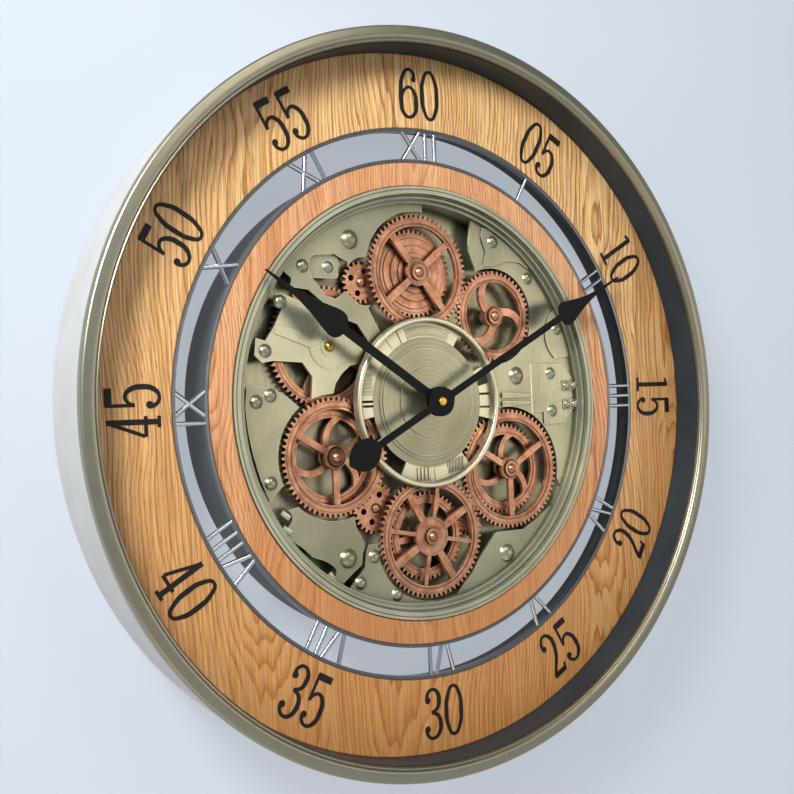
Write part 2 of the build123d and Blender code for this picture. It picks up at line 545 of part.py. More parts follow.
def hand(length, bar, spade_at, tail):
    """Spade hand along +y: bar, spade, needle and hub, with a weighted tail where it has one."""
    root, point = spade_at - SPADE_ROOT, spade_at + SPADE_POINT
    half = Curve() + [
        Line((0, root), (bar / 2, root)),
        Spline((bar / 2, root), (SPADE_WIDTH / 2, spade_at - SPADE_ROOT * 0.25),
               (SPADE_WIDTH / 3.4, spade_at + SPADE_POINT * 0.35), (NEEDLE_WIDTH / 2, point),
               tangents=((1, 0.25), (-0.06, 1))),
        Line((NEEDLE_WIDTH / 2, point), (TIP_WIDTH / 2, length)),
        Line((TIP_WIDTH / 2, length), (0, length))]
    face = make_face(half + mirror(half, Plane.YZ))
    face += Pos(0, root / 2) * Rectangle(bar, root)
    face += Circle(HAND_HUB_RADIUS)
    if tail:
        near, far = TAIL_AT - TAIL_LENGTH / 2, TAIL_AT + TAIL_LENGTH / 2
        half = Curve() + [
            Line((0, -near), (bar / 2, -near)),
            Spline((bar / 2, -near), (TAIL_WIDTH / 2, -TAIL_AT), (TIP_WIDTH / 2, -far),
                   tangents=((1, -0.2), (-1, -0.7))),
            Line((TIP_WIDTH / 2, -far), (0, -far))]
        face += make_face(half + mirror(half, Plane.YZ))
        face += Pos(0, -near / 2) * Rectangle(bar, near)
    return extrude(face, HAND_THICKNESS)


def spindle():
    """Hands, hour pipe, minute shaft and the nut that holds the sub-dial."""
    made = {}
    bored = Pos(0, 0, hour_back) * (Rot(Z=-HOUR_BEARING) * hand(HOUR_LENGTH, HOUR_BAR, HOUR_SPADE_AT, False))
    made["hour_hand"] = bored - disc(pipe_radius, hour_back - 1, hour_back + HAND_THICKNESS + 1)
    bored = Pos(0, 0, minute_back) * (
        Rot(Z=-MINUTE_BEARING) * hand(MINUTE_LENGTH, MINUTE_BAR, MINUTE_SPADE_AT, True))
    made["minute_hand"] = bored - disc(MINUTE_SHAFT_RADIUS, minute_back - 1, minute_back + HAND_THICKNESS + 1)
    pipe_back = base_back - MOVEMENT_THICKNESS / 2
    made["hour_pipe"] = disc(pipe_radius, pipe_back, hour_back + HAND_THICKNESS,
                             MINUTE_SHAFT_RADIUS + RUNNING_CLEARANCE)
    shaft_back = MOVEMENT_LIFT
    cap_back = minute_back + HAND_THICKNESS
    made["minute_shaft"] = disc(MINUTE_SHAFT_RADIUS, shaft_back, cap_back)
    cap = disc(CAP_RADIUS, cap_back, cap_back + CAP_HEIGHT)
    made["hand_cap"] = fillet(cap.edges().group_by(Axis.Z)[-1], CAP_HEIGHT * 0.6)
    knob_back = MOVEMENT_LIFT - KNOB_LENGTH
    made["set_knob"] = disc(KNOB_RADIUS, knob_back, MOVEMENT_LIFT - END_PLAY) + disc(
        MINUTE_SHAFT_RADIUS, knob_back, MOVEMENT_LIFT)
    nut = Pos(0, 0, sub_centre) * extrude(RegularPolygon(NUT_RADIUS, 6) - Circle(BUSH_RADIUS), NUT_HEIGHT)
    made["bush_nut"] = nut
    made["centre_sleeve"] = disc(SLEEVE_RADIUS, base_front, sub_back, BUSH_RADIUS)
    return made


def sector(inner, outer, start, end):
    """Face of a ring between two bearings."""
    middle = (start + end) / 2
    edges = Curve() + [
        ThreePointArc(bearing(outer, start), bearing(outer, middle), bearing(outer, end)),
        Line(bearing(outer, end), bearing(inner, end)),
        ThreePointArc(bearing(inner, end), bearing(inner, middle), bearing(inner, start)),
        Line(bearing(inner, start), bearing(outer, start))]
    return make_face(edges)


def sub_dial():
    """Pierced sub-dial: plate with windows, stepped centre and a rim round it."""
    rim_inner = SUB_RADIUS - SUB_RIM_WIDTH
    face = Circle(rim_inner) - Circle(BUSH_RADIUS)
    for start, end in SUB_WINDOWS:
        face -= sector(rim_inner - SUB_WINDOW_DEPTH, rim_inner, start, end)
    for side in (1, -1):
        for k in (0, 1):
            x = side * (rim_inner - SLOT_LENGTH / 2 - SUB_RIM_WIDTH / 2)
            face -= Pos(x, (k - 0.5) * SLOT_SPREAD * (side + 2) / 3) * Rectangle(SLOT_LENGTH, SLOT_WIDTH)
    body = Pos(0, 0, sub_back) * extrude(face, SUB_THICKNESS)
    for k, radius in enumerate(SUB_STEP_RADII):
        body += disc(radius, sub_face, sub_face + SUB_STEP_HEIGHT * (k + 1), BUSH_RADIUS)
    round_edge = SUB_RIM_WIDTH * 0.35
    rim = disc(SUB_RADIUS, sub_back, sub_front, rim_inner)
    rim = fillet(rim.edges().group_by(Axis.Z)[-1], round_edge)
    return {"sub_dial": body + rim}


def band_inside(depth):
    """Inner radius of the flared band."""
    return band_inner + BAND_FLARE * depth / bezel_back


def in_pieces(radius, back, front, hole):
    """Ring joined from equal pieces."""
    pitch, joint = 360 / OUTER_PIECES, degrees(PIECE_JOINT / radius)
    ends = [(k * pitch + joint, (k + 1) * pitch) for k in range(OUTER_PIECES)]
    faces = [Pos(0, 0, back) * sector(hole, radius, start, end) for start, end in ends]
    return Compound([extrude(face, front - back, dir=(0, 0, 1)).solid() for face in faces])


def rings():
    """Dial rings, movement rim, chapter rings and what lies behind them."""
    made = {}
    top_of_rim = DIAL_FACE + RIM_PROUD
    radius, depth = well_radius, top_of_rim - RIM_STEP_HEIGHT * (len(RIM_STEP_WIDTHS) - 1)
    profile = [(radius, base_front)]
    for width in RIM_STEP_WIDTHS:
        profile += [(radius, depth), (radius + width, depth)]
        radius, depth = radius + width, depth + RIM_STEP_HEIGHT
    profile += [(rim_radius, base_front)]
    made["movement_rim"] = turned(profile)
    made["inner_dial_ring"] = disc(inner_dial_radius, dial_back, DIAL_FACE, rim_radius)
    ring_back = DIAL_FACE - CHAPTER_RING_DEPTH
    made["inner_chapter_ring"] = disc(gap_inner, ring_back, DIAL_FACE, inner_dial_radius)
    made["outer_chapter_ring"] = in_pieces(outer_dial_inner, ring_back, DIAL_FACE, gap_outer)
    made["roman_numerals"] = numerals()
    outer_edge = band_inside(dial_back) - DIAL_CLEARANCE
    made["outer_dial_ring"] = in_pieces(outer_edge, dial_back, DIAL_FACE, outer_dial_inner)
    well_back = dial_back - WELL_WALL_DEPTH
    panel_back = well_back - REAR_PANEL
    made["rear_panel"] = disc(band_inside(panel_back), panel_back, well_back, outer_dial_inner) + disc(
        outer_dial_inner + WELL_WALL, well_back, dial_back - DIAL_CLEARANCE, outer_dial_inner)
    cover_front = COVER_LIFT + COVER_THICKNESS
    shell = disc(drum_outer, cover_front, dial_back, drum_inner)
    made["drum"] = shell + disc(drum_outer, dial_back - DRUM_WALL, dial_back, rim_radius)
    return made


def case():
    """Band with its back flange, bezel, liner and keyhole hanger."""
    made = {}
    flange = band_outer - BACK_FLANGE
    made["case_band"] = turned([
        (band_outer, 0), (band_outer + BAND_FLARE, bezel_back), (band_inside(bezel_back), bezel_back),
        (band_inside(BAND_WALL), BAND_WALL), (flange, BAND_WALL), (flange, 0)])
    made["liner"] = disc(liner_inner + LINER_WALL, DIAL_FACE + DIAL_CLEARANCE, liner_front, liner_inner)
    lip, lip_edge = liner_inner + LIP_STEP, case_front - LIP_DROP
    crown, shoulder = lip + LIP_WIDTH, case_front - BEZEL_FALL
    turn = bezel_outer - BEZEL_ROUND
    skirt = band_inside(bezel_back)
    profile = Curve() + [
        Line((lip, liner_front), (lip, lip_edge)),
        ThreePointArc((lip, lip_edge), (lip + LIP_WIDTH / 3, case_front - LIP_DROP / 3), (crown, case_front)),
        Line((crown, case_front), (turn, shoulder)),
        EllipticalCenterArc((turn, shoulder - BEZEL_ROUND), BEZEL_ROUND, BEZEL_ROUND, arc_size=90),
        Line((bezel_outer, shoulder - BEZEL_ROUND), (bezel_outer, bezel_back)),
        Line((bezel_outer, bezel_back), (skirt, bezel_back)),
        Line((skirt, bezel_back), (skirt, liner_front)),
        Line((skirt, liner_front), (lip, liner_front))]
    made["front_bezel"] = revolve(make_face(Plane.XZ * profile), Axis.Z)
    low = band_inner - HANGER_HEIGHT
    face = Pos(0, low + HANGER_HEIGHT) * Rectangle(HANGER_WIDTH, 2 * HANGER_HEIGHT) & Circle(band_inner)
    hole = band_inner - KEYHOLE_DROP
    face -= Pos(0, hole) * Circle(KEYHOLE_RADIUS)
    face -= Pos(0, hole + KEYSLOT_LENGTH / 2) * Rectangle(2 * KEYSLOT_RADIUS, KEYSLOT_LENGTH)
    face -= Pos(0, hole + KEYSLOT_LENGTH) * Circle(KEYSLOT_RADIUS)
    made["hanger"] = Pos(0, 0, BAND_WALL) * extrude(face, HANGER_THICKNESS)
    return made


def inside():
    """Base plate, clock movement, gear motor, cells and the cover behind them."""
    made = {}
    face = Circle(drum_inner) - Circle(BUSH_RADIUS)
    for centre in ARBORS:
        face -= Pos(*centre) * Circle(ARBOR_RADIUS + RUNNING_CLEARANCE)
    face -= Pos(*drive) * Circle(ARBOR_RADIUS + RUNNING_CLEARANCE)
    made["base_plate"] = Pos(0, 0, base_back) * extrude(face, BASE_THICKNESS)

    bore = pipe_radius + RUNNING_CLEARANCE
    outline = RectangleRounded(MOVEMENT_SIDE, MOVEMENT_SIDE, MOVEMENT_CORNER)
    body = Pos(0, 0, MOVEMENT_LIFT) * extrude(outline, MOVEMENT_THICKNESS)
    body -= disc(MINUTE_SHAFT_RADIUS + RUNNING_CLEARANCE, MOVEMENT_LIFT, base_back)
    body -= disc(bore, base_back - MOVEMENT_THICKNESS / 2 - END_PLAY, base_back)
    trough = 2 * (CELL_RADIUS + CELL_ROOM)
    body -= Pos(0, -CELL_DROP, MOVEMENT_LIFT + CELL_RADIUS) * Box(CELL_LENGTH + 2 * CELL_ROOM, trough, trough)
    made["clock_movement"] = body + disc(BUSH_RADIUS, base_back, sub_centre + NUT_HEIGHT + BUSH_PROUD, bore)
    lying = Rot(Y=90) * Cylinder(CELL_RADIUS, CELL_LENGTH)
    made["clock_cell"] = Pos(0, -CELL_DROP, MOVEMENT_LIFT + CELL_RADIUS) * lying
    width, height, depth = MOTOR_SIZE
    motor = Pos(0, 0, base_back - depth) * extrude(RectangleRounded(width, height, MOTOR_CORNER), depth)
    motor -= disc(ARBOR_RADIUS + RUNNING_CLEARANCE, base_back - MOTOR_SHAFT - END_PLAY, base_back)
    made["gear_motor"] = Pos(*drive) * motor

    cover_front = COVER_LIFT + COVER_THICKNESS
    x, y = in_modules((HOLDER_AT,))[0]
    pocket_length, depth = CELL_LENGTH + 2 * CELL_ROOM, trough + HOLDER_WALL
    outline = RectangleRounded(pocket_length + 2 * HOLDER_WALL, trough + 2 * HOLDER_WALL, HOLDER_CORNER)
    holder = Pos(x, y, base_back - depth) * extrude(outline, depth)
    pocket = Box(pocket_length, trough, 2 * depth)
    made["cell_holder"] = holder - Pos(x, y, base_back - HOLDER_WALL - depth) * pocket
    made["motor_cell"] = Pos(x, y, base_back - HOLDER_WALL - CELL_RADIUS) * lying

    cover = Circle(drum_outer) - Circle(KNOB_WINDOW)
    cover -= Pos(0, -CELL_DROP) * Rectangle(CELL_LENGTH + 2 * CELL_ROOM, trough)
    cover -= Pos(x, y) * Rectangle(CELL_LENGTH + 2 * CELL_ROOM, trough)
    made["back_cover"] = Pos(0, 0, COVER_LIFT) * extrude(cover, COVER_THICKNESS)
    return made


def posts():
    overlay_front = plate_front + PLATE_OVERLAY
    plain = LEFT_POSTS + FOOT_POSTS + RIGHT_POSTS[1:] + BRIDGE_POSTS + (UPPER_LEFT_POST,)
    raised = RIGHT_POSTS[:1] + STEP_POSTS + (WAVE_POST,)
    placed = [(place, post(POST_HEAD, plate_front)) for place in plain]
    placed += [(place, post(POST_HEAD, overlay_front)) for place in raised]
    placed += [(LUG_POST, post(POST_HEAD, front_level, front_level - LUG_THICKNESS))]
    groups = {"large_posts": [(place, post(LARGE_HEAD, plate_front)) for place in LARGE_POSTS],
              "plate_posts": placed}
    made = {}
    for name, group in groups.items():
        made[name] = Compound([
            solid for (x, y), shape in group for solid in (Pos(x * MODULE, y * MODULE) * shape).solids()])
    return made


def build():
    nodes = {}
    for group in (case, rings, inside, plates, posts, train, sub_dial, spindle):
        nodes.update(group())
    return nodes


def main():
    os.makedirs("parts", exist_ok=True)
    for name, shape in build().items():
        upright = Rot(X=90) * shape
        export_step(upright, "parts/%s.step" % name)
        print(name, len(upright.solids()), round(upright.volume, 1))


if __name__ == "__main__":
    main()
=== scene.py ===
"""Round wall clock with an open gear movement: its finishes, its small pieces and a plain stage.

Small pieces are drawn in the face frame, in millimetres: x to the right, y up, z out of the wall.
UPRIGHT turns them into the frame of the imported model, where the dial faces -Y.
Bearings run clockwise from the 12, in degrees.
"""
import json
from math import cos, pi, radians, sin

import bmesh
import bpy
from mathutils import Matrix, Vector


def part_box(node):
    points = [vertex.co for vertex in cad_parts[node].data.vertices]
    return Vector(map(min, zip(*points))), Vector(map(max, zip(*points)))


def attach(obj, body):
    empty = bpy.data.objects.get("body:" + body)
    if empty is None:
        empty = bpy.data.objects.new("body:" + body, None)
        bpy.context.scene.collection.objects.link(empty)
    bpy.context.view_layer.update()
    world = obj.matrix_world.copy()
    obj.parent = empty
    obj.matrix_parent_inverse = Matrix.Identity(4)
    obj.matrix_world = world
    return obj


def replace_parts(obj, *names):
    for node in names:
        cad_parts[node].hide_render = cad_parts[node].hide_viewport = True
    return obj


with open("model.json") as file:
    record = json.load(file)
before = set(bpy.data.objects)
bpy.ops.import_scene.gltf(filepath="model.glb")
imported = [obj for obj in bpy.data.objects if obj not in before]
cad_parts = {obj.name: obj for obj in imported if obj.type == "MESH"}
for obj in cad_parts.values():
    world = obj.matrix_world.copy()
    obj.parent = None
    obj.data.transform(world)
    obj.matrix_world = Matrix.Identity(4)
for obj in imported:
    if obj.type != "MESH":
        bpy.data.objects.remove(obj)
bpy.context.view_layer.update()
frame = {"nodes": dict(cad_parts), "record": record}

MM = 0.001
UPRIGHT = Matrix.Rotation(radians(90), 4, "X") @ Matrix.Scale(MM, 4)


def front(node):
    """Depth of a node's front from the wall, in mm."""
    return -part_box(node)[0].y / MM


def back(node):
    """Depth of a node's back from the wall, in mm."""
    return -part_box(node)[1].y / MM


def polar(radius, bearing):
    """Point of the dial at a radius and a bearing."""
    return radius * sin(radians(bearing)), radius * cos(radians(bearing))


# Finishes

def linear(code):
    """sRGB hex code as a linear colour."""
    parts = [int(code[k:k + 2], 16) / 255 for k in (1, 3, 5)]
    return [c / 12.92 if c <= 0.04045 else ((c + 0.055) / 1.055) ** 2.4 for c in parts] + [1.0]


def add(tree, kind, inputs, out=0, **settings):
    """Adds a node with its settings and gives one output; inputs maps sockets to constants or sources."""
    made = tree.nodes.new("ShaderNode" + kind)
    for key, value in settings.items():
        setattr(made, key, value)
    for socket, value in inputs.items():
        if isinstance(value, bpy.types.NodeSocket):
            tree.links.new(value, made.inputs[socket])
        else:
            made.inputs[socket].default_value = value
    return made.outputs[out]


def finish(name, **constants):
    """Material with its shader; constants go straight on the shader's sockets."""
    made = bpy.data.materials.new(name)
    made.use_nodes = True
    tree = made.node_tree
    shader = tree.nodes["Principled BSDF"]
    for socket, value in constants.items():
        shader.inputs[socket.replace("_", " ")].default_value = value
    return made, tree, shader, add(tree, "TexCoord", {}, "Object")


def coat(tree, under, colour, amount, low, high, most=1.0):
    """Lays a colour over another one, from nothing at the low amount to the most at the high one."""
    share = add(tree, "MapRange", {0: amount, 1: low, 2: high, 3: 0.0, 4: most})
    return add(tree, "Mix", {0: share, 6: under, 7: linear(colour)}, 2, data_type="RGBA")


def surface(tree, shader, colour, marks, smooth, rough, depth=0.0):
    """Puts a colour on a shader, breaks its gloss up by marks and cuts the marks to a depth in mm."""
    tree.links.new(colour, shader.inputs["Base Color"])
    gloss = add(tree, "MapRange", {0: marks, 1: 0.3, 2: 0.7, 3: smooth, 4: rough})
    tree.links.new(gloss, shader.inputs["Roughness"])
    if depth:
        cut = add(tree, "Bump", {"Height": marks, "Distance": depth * MM, "Strength": 0.6})
        tree.links.new(cut, shader.inputs["Normal"])


def streaks(tree, where, across, along, turned=0.0, detail=3.0):
    """Noise in the dial's plane, drawn out to a width and a length in mm; spots where both are the same."""
    placed = add(tree, "Mapping", {0: where, 2: (0, radians(turned), 0),
                                   3: (1 / (across * MM), 1 / (across * MM), 1 / (along * MM))})
    return add(tree, "TexNoise", {"Vector": placed, "Scale": 1.0, "Detail": detail})


def edge_band(tree, width):
    """1 along outer edges and 0 on flats, for a width in mm."""
    soft = add(tree, "Bevel", {"Radius": width * MM}, samples=4)
    flat = add(tree, "NewGeometry", {}, "Normal")
    likeness = add(tree, "VectorMath", {0: soft, 1: flat}, "Value", operation="DOT_PRODUCT")
    return add(tree, "MapRange", {0: likeness, 1: 0.99, 2: 0.80})


def radius_of(tree, where):
    """Distance from the spindle axis, in metres."""
    flat = add(tree, "VectorMath", {0: where, 1: (1, 0, 1)}, operation="MULTIPLY")
    return add(tree, "VectorMath", {0: flat}, "Value", operation="LENGTH")


def ring_lines(tree, where, radii, width):
    """1 on thin lines round the spindle axis, at radii and with a width in mm."""
    radius, lines = radius_of(tree, where), 0.0
    for at in radii:
        away = add(tree, "Math", {0: radius, 1: at * MM}, operation="SUBTRACT")
        away = add(tree, "Math", {0: away}, operation="ABSOLUTE")
        line = add(tree, "MapRange", {0: away, 1: width * MM, 2: 0.4 * width * MM})
        lines = add(tree, "Math", {0: lines, 1: line}, operation="MAXIMUM")
    return lines


def champagne(name, light, dark, edge_and_track_pale, rough, metal=0.7, turned=False, lines=(), pale_from=None):
    """Champagne lacquer with fine metal flake over pressed steel: soft gloss, a painted highlight along the
    edges and painted shade that darkens the corners and recesses. Outside a radius in mm it may be paler.
    The brush and lathe marks are coarser than real ones, so that they show."""
    made, tree, shader, where = finish(name, Metallic=metal)
    if turned:
        ring = add(tree, "Math", {0: radius_of(tree, where), 1: 1 / (0.9 * MM)}, operation="MULTIPLY")
        marks = add(tree, "TexNoise", {"W": ring, "Scale": 1.0, "Detail": 3.0}, noise_dimensions="1D")
    else:
        marks = streaks(tree, where, 0.45, 14.0, 38.0)
    body = coat(tree, linear(dark), light, streaks(tree, where, 55.0, 55.0, detail=2.0), 0.35, 0.65)
    body = coat(tree, body, dark, marks, 0.3, 0.7, 0.25)
    if pale_from:
        body = coat(tree, body, edge_and_track_pale, radius_of(tree, where), pale_from * MM, (pale_from + 0.5) * MM, 0.6)
    # painted shade: corners and recesses turn darker where ambient occlusion finds other surfaces close
    corner = add(tree, "AmbientOcclusion", {"Distance": 13 * MM}, "AO", samples=6)
    body = coat(tree, body, "#2e2d24", corner, 0.92, 0.35, 0.85)
    # painted highlight: the edges turn pale as if they caught the light
    body = coat(tree, body, edge_and_track_pale, edge_band(tree, 0.7), 0.0, 1.0, 0.8)
    # painted shade: dark lines at the radii of the rim's grooves
    if lines:
        body = coat(tree, body, "#1f1e18", ring_lines(tree, where, lines, 0.5), 0.0, 1.0, 0.85)
    surface(tree, shader, body, marks, rough - 0.05, rough + 0.08, 0.03)
    return made


def oak(name, board, spacing, seed, arch, light, middle, dark, rims):
    """Flat-sawn oak veneer under satin lacquer: boards with cathedral arches in the middle and straight lines
    at their sides, short dark pores along the grain, and a dark cut edge at each rim of the ring.
    Board width, year line spacing and rim radii are in mm. The pores are drawn wider, so that they show."""
    made, tree, shader, where = finish(name, Roughness=0.46, IOR=1.5)
    across, along = (add(tree, "SeparateXYZ", {0: where}, axis) for axis in ("X", "Z"))
    leaf = add(tree, "Math", {0: across, 1: 1 / (board * MM), 2: seed}, operation="MULTIPLY_ADD")
    number = add(tree, "Math", {0: leaf}, operation="FLOOR")
    in_leaf = add(tree, "Math", {0: leaf}, operation="FRACT")
    draw = add(tree, "TexWhiteNoise", {"W": number}, "Color", noise_dimensions="1D")
    chance = [add(tree, "SeparateColor", {0: draw}, k) for k in range(3)]
    sway = add(tree, "Mapping", {0: where, 3: (1 / (90 * MM), 1, 1 / (160 * MM))})
    sway = add(tree, "TexNoise", {"Vector": sway, "Scale": 1.0, "Detail": 1.5}, "Color")
    sway = [add(tree, "SeparateColor", {0: sway}, k) for k in range(2)]
    heart = add(tree, "MapRange", {0: in_leaf, 1: 0, 2: 1, 3: -board * MM / 2, 4: board * MM / 2})
    off_middle = add(tree, "MapRange", {0: chance[0], 3: -0.3 * board * MM, 4: 0.3 * board * MM})
    sideways = add(tree, "MapRange", {0: sway[0], 1: 0.2, 2: 0.8, 3: -11 * MM, 4: 11 * MM})
    for shift in (off_middle, sideways):
        heart = add(tree, "Math", {0: heart, 1: shift}, operation="ADD")
    slope = add(tree, "MapRange", {0: chance[1], 3: -arch, 4: arch})
    start = add(tree, "MapRange", {0: chance[2], 3: 12 * MM, 4: 50 * MM})
    tilt = add(tree, "Math", {0: along, 1: slope, 2: start}, operation="MULTIPLY_ADD")
    roll = add(tree, "MapRange", {0: sway[1], 1: 0.2, 2: 0.8, 3: -12 * MM, 4: 12 * MM})
    tilt = add(tree, "Math", {0: tilt, 1: roll}, operation="ADD")
    from_heart = add(tree, "CombineXYZ", {0: heart, 1: tilt})
    reach = add(tree, "VectorMath", {0: from_heart}, "Value", operation="LENGTH")
    wander = streaks(tree, where, 5.0, 140.0, detail=0.5)
    wander = add(tree, "Math", {0: wander, 1: 0.9}, operation="MULTIPLY")
    year = add(tree, "Math", {0: reach, 1: 1 / (spacing * MM), 2: wander}, operation="MULTIPLY_ADD")
    year = add(tree, "Math", {0: year}, operation="FRACT")
    body = coat(tree, linear(light), middle, year, 0.30, 0.80)
    body = coat(tree, body, dark, year, 0.68, 0.93, 0.8)
    body = coat(tree, body, light, year, 0.94, 1.0, 0.8)
    body = coat(tree, body, middle, chance[2], 0.0, 1.0, 0.4)
    body = coat(tree, body, "#b06a34", chance[0], 0.5, 1.0, 0.3)
    body = coat(tree, body, dark, streaks(tree, where, 1.6, 140.0), 0.5, 0.72, 0.5)
    fibre = streaks(tree, where, 0.6, 55.0)
    body = coat(tree, body, dark, fibre, 0.42, 0.70, 0.62)
    body = coat(tree, body, light, streaks(tree, where, 9.0, 240.0), 0.50, 0.72, 0.35)
    pores = streaks(tree, where, 0.42, 9.0, detail=1.0)
    pores = add(tree, "MapRange", {0: pores, 1: 0.58, 2: 0.68})
    late = add(tree, "MapRange", {0: year, 1: 0.35, 2: 0.95, 3: 0.2, 4: 0.8})
    pores = add(tree, "Math", {0: pores, 1: late}, operation="MULTIPLY")
    body = coat(tree, body, "#5a3418", pores, 0.0, 1.0)
    # painted warm light: a golden tint that grows towards the bottom of the dial
    body = coat(tree, body, "#a35f14", along, 0.12, -0.25, 0.6)
    body = coat(tree, body, "#1d1510", ring_lines(tree, where, rims, 1.4), 0.0, 1.0, 0.9)
    tree.links.new(body, shader.inputs["Base Color"])
    height = add(tree, "Math", {0: fibre, 1: pores}, operation="SUBTRACT")
    cut = add(tree, "Bump", {"Height": height, "Distance": 0.05 * MM, "Strength": 0.6})
    tree.links.new(cut, shader.inputs["Normal"])
    return made


def antique_copper():
    """Copper plate with a dark wash that stays in tooth gaps and corners and is wiped off the edges, which
    are brighter: rubbed copper with a painted highlight.
    """
    made, tree, shader, where = finish("antique_copper_plate", Metallic=0.85)
    patch = streaks(tree, where, 9.0, 9.0, detail=4.0)
    fine = streaks(tree, where, 0.8, 0.8, detail=2.0)
    body = coat(tree, linear("#ac7456"), "#e4ab88", patch, 0.32, 0.68)
    body = coat(tree, body, "#6f4633", fine, 0.35, 0.7, 0.3)
    corner = add(tree, "AmbientOcclusion", {"Distance": 5.0 * MM}, "AO", samples=8)
    body = coat(tree, body, "#150b07", corner, 1.0, 0.55, 0.96)
    # brighter edges: rubbed copper, partly a painted highlight
    body = coat(tree, body, "#f4bd9a", edge_band(tree, 0.5), 0.0, 0.8, 0.85)
    surface(tree, shader, body, fine, 0.26, 0.38, 0.02)
    return made


def chrome(name, colour, smooth, rough):
    """Polished plate with faint wiping marks."""
    made, tree, shader, where = finish(name, Metallic=1.0, Base_Color=linear(colour))
    marks = streaks(tree, where, 12.0, 12.0, detail=5.0)
    gloss = add(tree, "MapRange", {0: marks, 1: 0.3, 2: 0.7, 3: smooth, 4: rough})
    tree.links.new(gloss, shader.inputs["Roughness"])
    return made


def paint(name, colour, shade, rough, grit, metal=0.0, shine=0.5):
    """Sprayed paint with a fine grit: even colour, a little cloudy, with a slightly broken gloss."""
    made, tree, shader, where = finish(name, Metallic=metal, Specular_IOR_Level=shine)
    body = coat(tree, linear(shade), colour, streaks(tree, where, 40.0, 40.0), 0.3, 0.7)
    fine = streaks(tree, where, grit, grit, detail=2.0)
    surface(tree, shader, body, fine, rough - 0.06, rough + 0.06, 0.02)
    return made


def turned_metal(name, colour, shade, rough, pitch):
    """Bare turned metal: bright, with fine tool marks."""
    made, tree, shader, where = finish(name, Metallic=1.0)
    marks = streaks(tree, where, pitch, 40 * pitch)
    body = coat(tree, linear(shade), colour, marks, 0.3, 0.7)
    surface(tree, shader, body, marks, rough - 0.06, rough + 0.08)
    return made


# Pressed plates, the paler bridge, the turned sub-dial with its pale track, the stepped rim with dark lines
# painted for the shade in its grooves
plates_finish = champagne("champagne_lacquer_brushed", "#b4b194", "#969379", "#fbf3d0", 0.30, 0.88)
bridge_finish = champagne("champagne_lacquer_pale", "#cfccae", "#b6b396", "#fbf3d0", 0.31, 0.85)
turned_finish = champagne("champagne_lacquer_turned", "#aaa78c", "#908d74", "#f6eecb", 0.31, 0.85,
                          turned=True, pale_from=0.76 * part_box("sub_dial")[1].x / MM)
rim_finish = champagne("champagne_rim_turned", "#b8b69b", "#a09e85", "#ece5c0", 0.36, 0.6, turned=True,
                       lines=(172.6, 168.0))

# Case: a satin plated bezel that mirrors softly, a nearly matt coat on the band, dark paint inside and behind
bezel_finish = chrome("satin_champagne_plate", "#9c9782", 0.34, 0.38)
band_finish = paint("pale_champagne_coat", "#d6d4cd", "#cdcac2", 0.42, 0.5, 0.3)
liner_finish = paint("graphite_paint", "#28343a", "#212c31", 0.42, 0.5, shine=0.35)
drum_finish = paint("dark_grey_paint", "#474c4e", "#3d4244", 0.45, 0.6)
rear_finish = paint("black_steel_paint", "#232527", "#1c1e20", 0.50, 0.7)

# Dial: yellow oak with open grain outside, redder oak with close grain inside, bright rods between dark rings
outer_oak = oak("oak_veneer_outer", 168.0, 3.3, 0.62, 0.15, "#ecc68a", "#d09a58", "#6f4019", (221.65, 282.55))
inner_oak = oak("oak_veneer_inner", 120.0, 1.9, 3.35, 0.03, "#e9b586", "#d39763", "#9a6039", (174.95, 194.95))
chrome_finish = chrome("polished_chrome", "#c4c9cd", 0.12, 0.20)
ring_finish = chrome("smoked_nickel", "#74787b", 0.24, 0.34)
black_finish = paint("black_hand_lacquer", "#0a0a0b", "#070707", 0.55, 0.35, shine=0.2)
number_finish = paint("black_screen_ink", "#141210", "#0d0c0b", 0.55, 0.4, shine=0.3)

# Movement: copper wheels, brass at the bearings, zinc-plated fasteners, moulded plastic and the cells' film
copper_finish = antique_copper()
brass_finish = turned_metal("turned_brass", "#d6ad58", "#b98e3f", 0.26, 0.25)
zinc_finish = turned_metal("zinc_plated_steel", "#b9bdc1", "#9a9fa4", 0.38, 0.5)
plastic_finish = paint("black_abs_plastic", "#1a1b1d", "#151618", 0.48, 0.3)
sleeve_finish = paint("cell_sleeve_film", "#5c6470", "#525a66", 0.32, 1.0)

slot_finish = {"champagne_paint": plates_finish, "band_paint": band_finish, "chrome": chrome_finish,
               "black_paint": black_finish, "zinc_steel": zinc_finish, "brass": brass_finish,
               "black_plastic": plastic_finish, "antique_copper": copper_finish, "oak_veneer": outer_oak}
node_finish = {"front_bezel": bezel_finish, "left_bridge": bridge_finish, "movement_rim": rim_finish,
               "sub_dial": turned_finish, "inner_dial_ring": inner_oak, "liner": liner_finish,
               "drum": drum_finish, "inner_chapter_ring": ring_finish, "outer_chapter_ring": ring_finish,
               "rear_panel": rear_finish, "back_cover": rear_finish,
               "clock_cell": sleeve_finish, "motor_cell": sleeve_finish}
for part in frame["record"]["subparts"]:
    slots = frame["nodes"][part["node"]].data.materials
    slots.clear()
    slots.append(node_finish.get(part["node"], slot_finish[part["material_slot"]]))


# Small pieces

MERGE = 0.002        # points closer than this are one
SHARP = radians(35)  # edges that turn by more stay crisp


def piece(name, shape, look, body="clock"):
    """Makes a shape drawn in the face frame a piece of a body."""
    bmesh.ops.remove_doubles(shape, verts=shape.verts, dist=MERGE)
    bmesh.ops.recalc_face_normals(shape, faces=shape.faces)
    mesh = bpy.data.meshes.new(name)
    shape.to_mesh(mesh)
    shape.free()
    mesh.transform(UPRIGHT)
    mesh.shade_smooth()
    mesh.set_sharp_from_angle(angle=SHARP)
    mesh.materials.append(look)
    made = bpy.data.objects.new(name, mesh)
    bpy.context.scene.collection.objects.link(made)
    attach(made, body)
    return made


